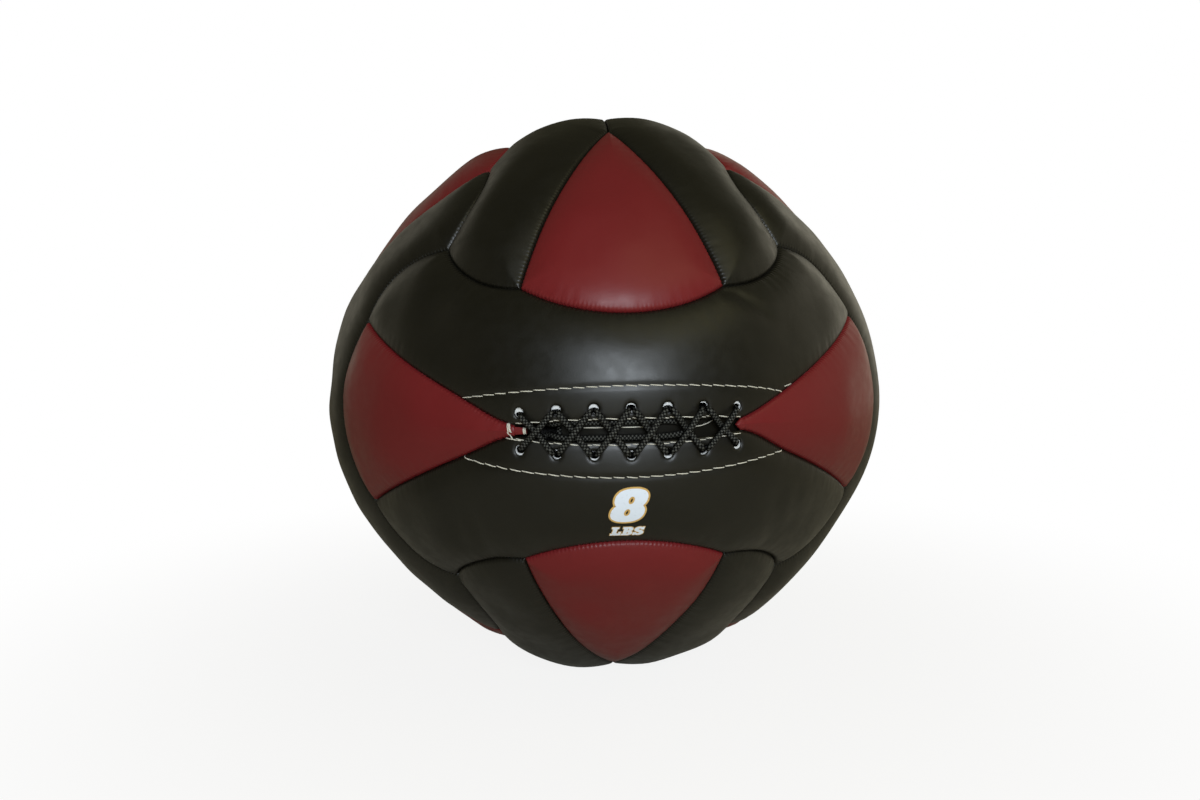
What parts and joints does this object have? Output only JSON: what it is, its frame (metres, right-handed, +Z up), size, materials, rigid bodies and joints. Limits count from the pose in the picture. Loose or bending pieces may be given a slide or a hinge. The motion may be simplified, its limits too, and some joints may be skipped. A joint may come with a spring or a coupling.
{
  "type": "laced wall ball",
  "caption": "Large soft exercise ball with a sewn two-colour leather cover, laced shut over a slot at its front, padded and filled with fibre round a weight sack.",
  "frame": {"origin": "middle of the small flat that the ball rests on, straight below the ball's middle", "axes": "+Z up, -Y towards the lacing, X along the lacing slot"},
  "size_m": [0.3556, 0.359, 0.3541],
  "materials": {
    "black_leather": "satin, fine grain",
    "red_leather": "satin, fine grain",
    "black_lace": "round braid",
    "white_thread": "twisted sewing thread",
    "white_canvas": "plain woven",
    "grey_foam": "matte",
    "liner_cloth": "plain woven",
    "fibre_fill": "loose fibre",
    "sack_canvas": "coarse woven",
    "iron_granules": "matte",
    "tie_cord": "twisted cord"
  },
  "bodies": {
    "root": {"front_upper_black_panel": "black_leather", "front_lower_black_panel": "black_leather", "front_left_red_panel": "red_leather", "front_right_red_panel": "red_leather", "rear_upper_black_panel": "black_leather", "rear_lower_black_panel": "black_leather", "rear_left_red_panel": "red_leather", "rear_right_red_panel": "red_leather", "top_left_black_panel": "black_leather", "top_right_black_panel": "black_leather", "top_front_red_panel": "red_leather", "top_rear_red_panel": "red_leather", "bottom_left_black_panel": "black_leather", "bottom_right_black_panel": "black_leather", "bottom_front_red_panel": "red_leather", "bottom_rear_red_panel": "red_leather", "left_front_black_panel": "black_leather", "left_rear_black_panel": "black_leather", "left_upper_red_panel": "red_leather", "left_lower_red_panel": "red_leather", "right_front_black_panel": "black_leather", "right_rear_black_panel": "black_leather", "right_upper_red_panel": "red_leather", "right_lower_red_panel": "red_leather", "upper_lace_facing": "white_canvas", "lower_lace_facing": "white_canvas", "tongue": "black_leather", "left_tip_tab": "red_leather", "lace": "black_lace", "upper_facing_stitching": "white_thread", "lower_facing_stitching": "white_thread", "upper_slot_edge_stitching": "white_thread", "lower_slot_edge_stitching": "white_thread", "left_tip_tack": "white_thread", "foam_padding": "grey_foam", "liner_bag": "liner_cloth", "rear_filling": "fibre_fill", "front_filling": "fibre_fill", "weight_sack": "sack_canvas", "sack_tie": "tie_cord", "weight_granules": "iron_granules"}
  },
  "joints": []
}
